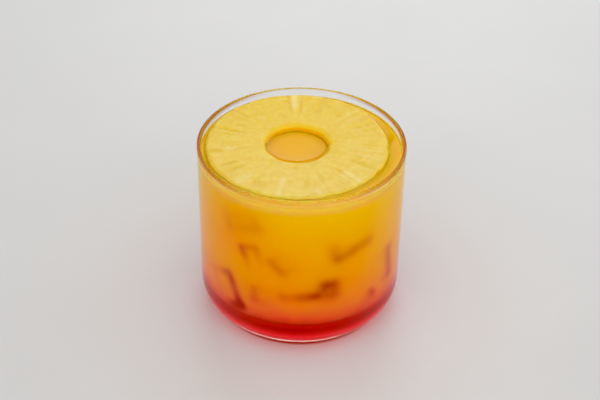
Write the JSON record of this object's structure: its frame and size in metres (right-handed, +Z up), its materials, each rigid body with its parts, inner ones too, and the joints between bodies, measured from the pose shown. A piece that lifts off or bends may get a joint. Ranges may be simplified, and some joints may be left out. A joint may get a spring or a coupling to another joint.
{
  "type": "glass of punch",
  "caption": "Low straight-sided tumbler filled with layered fruit punch, yellow above and red at the bottom, with a pineapple ring floating at the top.",
  "frame": {"origin": "centre of the tumbler's foot, on the surface it stands on", "axes": "+Z up along the tumbler's axis; -Y towards the viewer of the picture"},
  "size_m": [0.09, 0.09, 0.082],
  "materials": {
    "glass": "clear, fire-polished",
    "grenadine": "red syrup, glossy liquid",
    "punch": "cloudy yellow to orange juice, glossy liquid",
    "pineapple": "wet fibrous fruit flesh"
  },
  "bodies": {
    "root": {"glass": "glass", "grenadine": "grenadine", "punch": "punch", "pineapple_ring": "pineapple"}
  },
  "joints": []
}
